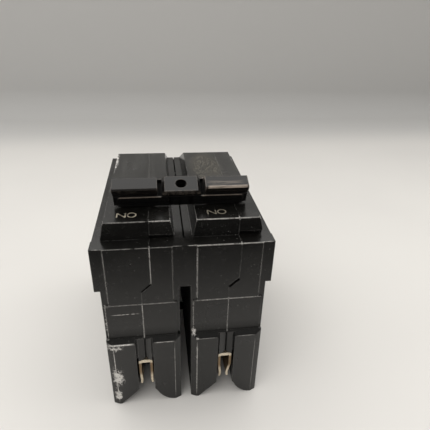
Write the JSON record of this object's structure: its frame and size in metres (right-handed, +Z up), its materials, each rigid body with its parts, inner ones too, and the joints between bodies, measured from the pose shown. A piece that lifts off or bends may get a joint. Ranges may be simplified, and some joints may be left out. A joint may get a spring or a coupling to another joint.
{
  "type": "molded case breaker",
  "caption": "Two-pole plug-in molded case breaker with tied toggle handles, line jaws between its legs, load lugs and a rail foot.",
  "frame": {"origin": "middle of the bounding box at the level of the leg bottoms", "axes": "+X across the poles, +Y from the line jaws to the load lugs, +Z up through the handles"},
  "size_m": [0.0508, 0.0754, 0.0732],
  "materials": {
    "case_base": "moulded thermoset, satin black with scuffed edges",
    "case_cover": "moulded thermoset, satin black with scuffed edges",
    "handle_gloss": "glossy black, worn edges",
    "tie_black": "semi-gloss black, worn edges",
    "jaw_brass": "tarnished spring brass",
    "copper": "bare copper",
    "copper_braid": "bare copper braid",
    "silver": "silver contact alloy",
    "spring_steel": "drawn spring wire",
    "plated_steel": "zinc plated",
    "pin_steel": "ground",
    "screw_steel": "zinc plated",
    "rivet_steel": "dulled plated steel",
    "bimetal_strip": "satin",
    "lug_aluminium": "tin plated, satin",
    "fibre_sheet": "vulcanised fibre",
    "trip_ivory": "moulded"
  },
  "bodies": {
    "case": {"left_base": "case_base", "left_cover": "case_cover", "left_jaw_clip": "jaw_brass", "left_lug": "lug_aluminium", "left_pivot_pin": "pin_steel", "left_cradle_pin": "pin_steel", "left_fixed_tip": "silver", "left_line_strap": "copper", "left_toggle_spring": "spring_steel", "left_bimetal": "bimetal_strip", "left_yoke": "plated_steel", "left_braid": "copper_braid", "left_load_strap": "copper", "left_cal_screw": "screw_steel", "left_arc_plates": "plated_steel", "left_arc_sheet": "fibre_sheet", "right_base": "case_base", "right_cover": "case_cover", "right_jaw_clip": "jaw_brass", "right_lug": "lug_aluminium", "right_pivot_pin": "pin_steel", "right_cradle_pin": "pin_steel", "right_fixed_tip": "silver", "right_line_strap": "copper", "right_toggle_spring": "spring_steel", "right_bimetal": "bimetal_strip", "right_yoke": "plated_steel", "right_braid": "copper_braid", "right_load_strap": "copper", "right_cal_screw": "screw_steel", "right_arc_plates": "plated_steel", "right_arc_sheet": "fibre_sheet", "rivet_front_top": "rivet_steel", "rivet_rear_top": "rivet_steel", "rivet_front_low": "rivet_steel", "rivet_rear_low": "rivet_steel"},
    "handles": {"left_handle": "handle_gloss", "right_handle": "handle_gloss", "handle_tie": "tie_black", "left_arm_pin": "pin_steel", "right_arm_pin": "pin_steel"},
    "trip_bar": {"trip_bar": "trip_ivory"},
    "left_arm": {"left_contact_arm": "copper", "left_moving_tip": "silver"},
    "left_cradle": {"left_cradle": "plated_steel"},
    "left_armature": {"left_armature": "plated_steel"},
    "left_pad": {"left_lug_pad": "plated_steel"},
    "left_screw": {"left_lug_screw": "screw_steel"},
    "right_arm": {"right_contact_arm": "copper", "right_moving_tip": "silver"},
    "right_cradle": {"right_cradle": "plated_steel"},
    "right_armature": {"right_armature": "plated_steel"},
    "right_pad": {"right_lug_pad": "plated_steel"},
    "right_screw": {"right_lug_screw": "screw_steel"}
  },
  "joints": [
    {"name": "handle_throw", "type": "hinge", "parent": "case", "child": "handles", "pos_m": [0, -0.0128, 0.0526], "axis": [-1, 0, 0], "range_deg": [0, 47], "deforming": ["left_toggle_spring", "left_braid", "right_toggle_spring", "right_braid"]},
    {"name": "left_arm_swing", "type": "hinge", "parent": "handles", "child": "left_arm", "pos_m": [-0.0127, -0.00961, 0.04526], "axis": [1, 0, 0], "range_deg": [0, 95.5]},
    {"name": "left_cradle_trip", "type": "hinge", "parent": "case", "child": "left_cradle", "pos_m": [-0.0127, -0.0272, 0.0425], "axis": [1, 0, 0], "range_deg": [-12, 0], "deforming": ["left_toggle_spring"]},
    {"name": "left_armature_pull", "type": "hinge", "parent": "case", "child": "left_armature", "pos_m": [-0.0127, 0.0082, 0.0515], "axis": [1, 0, 0], "range_deg": [0, 5]},
    {"name": "left_pad_slide", "type": "slide", "parent": "case", "child": "left_pad", "axis": [0, 0, -1], "range_m": [0, 0.0024]},
    {"name": "left_screw_turn", "type": "hinge", "parent": "left_pad", "child": "left_screw", "pos_m": [-0.0127, 0.028, 0.04], "axis": [0, 0, -1], "range_deg": [0, 1080]},
    {"name": "right_arm_swing", "type": "hinge", "parent": "handles", "child": "right_arm", "pos_m": [0.0127, -0.00961, 0.04526], "axis": [1, 0, 0], "range_deg": [0, 95.5]},
    {"name": "right_cradle_trip", "type": "hinge", "parent": "case", "child": "right_cradle", "pos_m": [0.0127, -0.0272, 0.0425], "axis": [1, 0, 0], "range_deg": [-12, 0], "deforming": ["right_toggle_spring"]},
    {"name": "right_armature_pull", "type": "hinge", "parent": "case", "child": "right_armature", "pos_m": [0.0127, 0.0082, 0.0515], "axis": [1, 0, 0], "range_deg": [0, 5]},
    {"name": "right_pad_slide", "type": "slide", "parent": "case", "child": "right_pad", "axis": [0, 0, -1], "range_m": [0, 0.0024]},
    {"name": "right_screw_turn", "type": "hinge", "parent": "right_pad", "child": "right_screw", "pos_m": [0.0127, 0.028, 0.04], "axis": [0, 0, -1], "range_deg": [0, 1080]},
    {"name": "trip_bar_turn", "type": "hinge", "parent": "case", "child": "trip_bar", "pos_m": [0, 0.0018, 0.026], "axis": [1, 0, 0], "range_deg": [0, 9]}
  ],
  "couplings": [
    {"joint": "left_arm_swing", "follows": "handle_throw", "ratio": 2.0213},
    {"joint": "left_screw_turn", "follows": "left_pad_slide", "rad_per_m": 7853.5},
    {"joint": "right_arm_swing", "follows": "handle_throw", "ratio": 2.0213},
    {"joint": "right_screw_turn", "follows": "right_pad_slide", "rad_per_m": 7853.5},
    {"joint": "right_cradle_trip", "follows": "left_cradle_trip", "ratio": 1},
    {"joint": "trip_bar_turn", "follows": "left_cradle_trip", "ratio": -0.7}
  ]
}
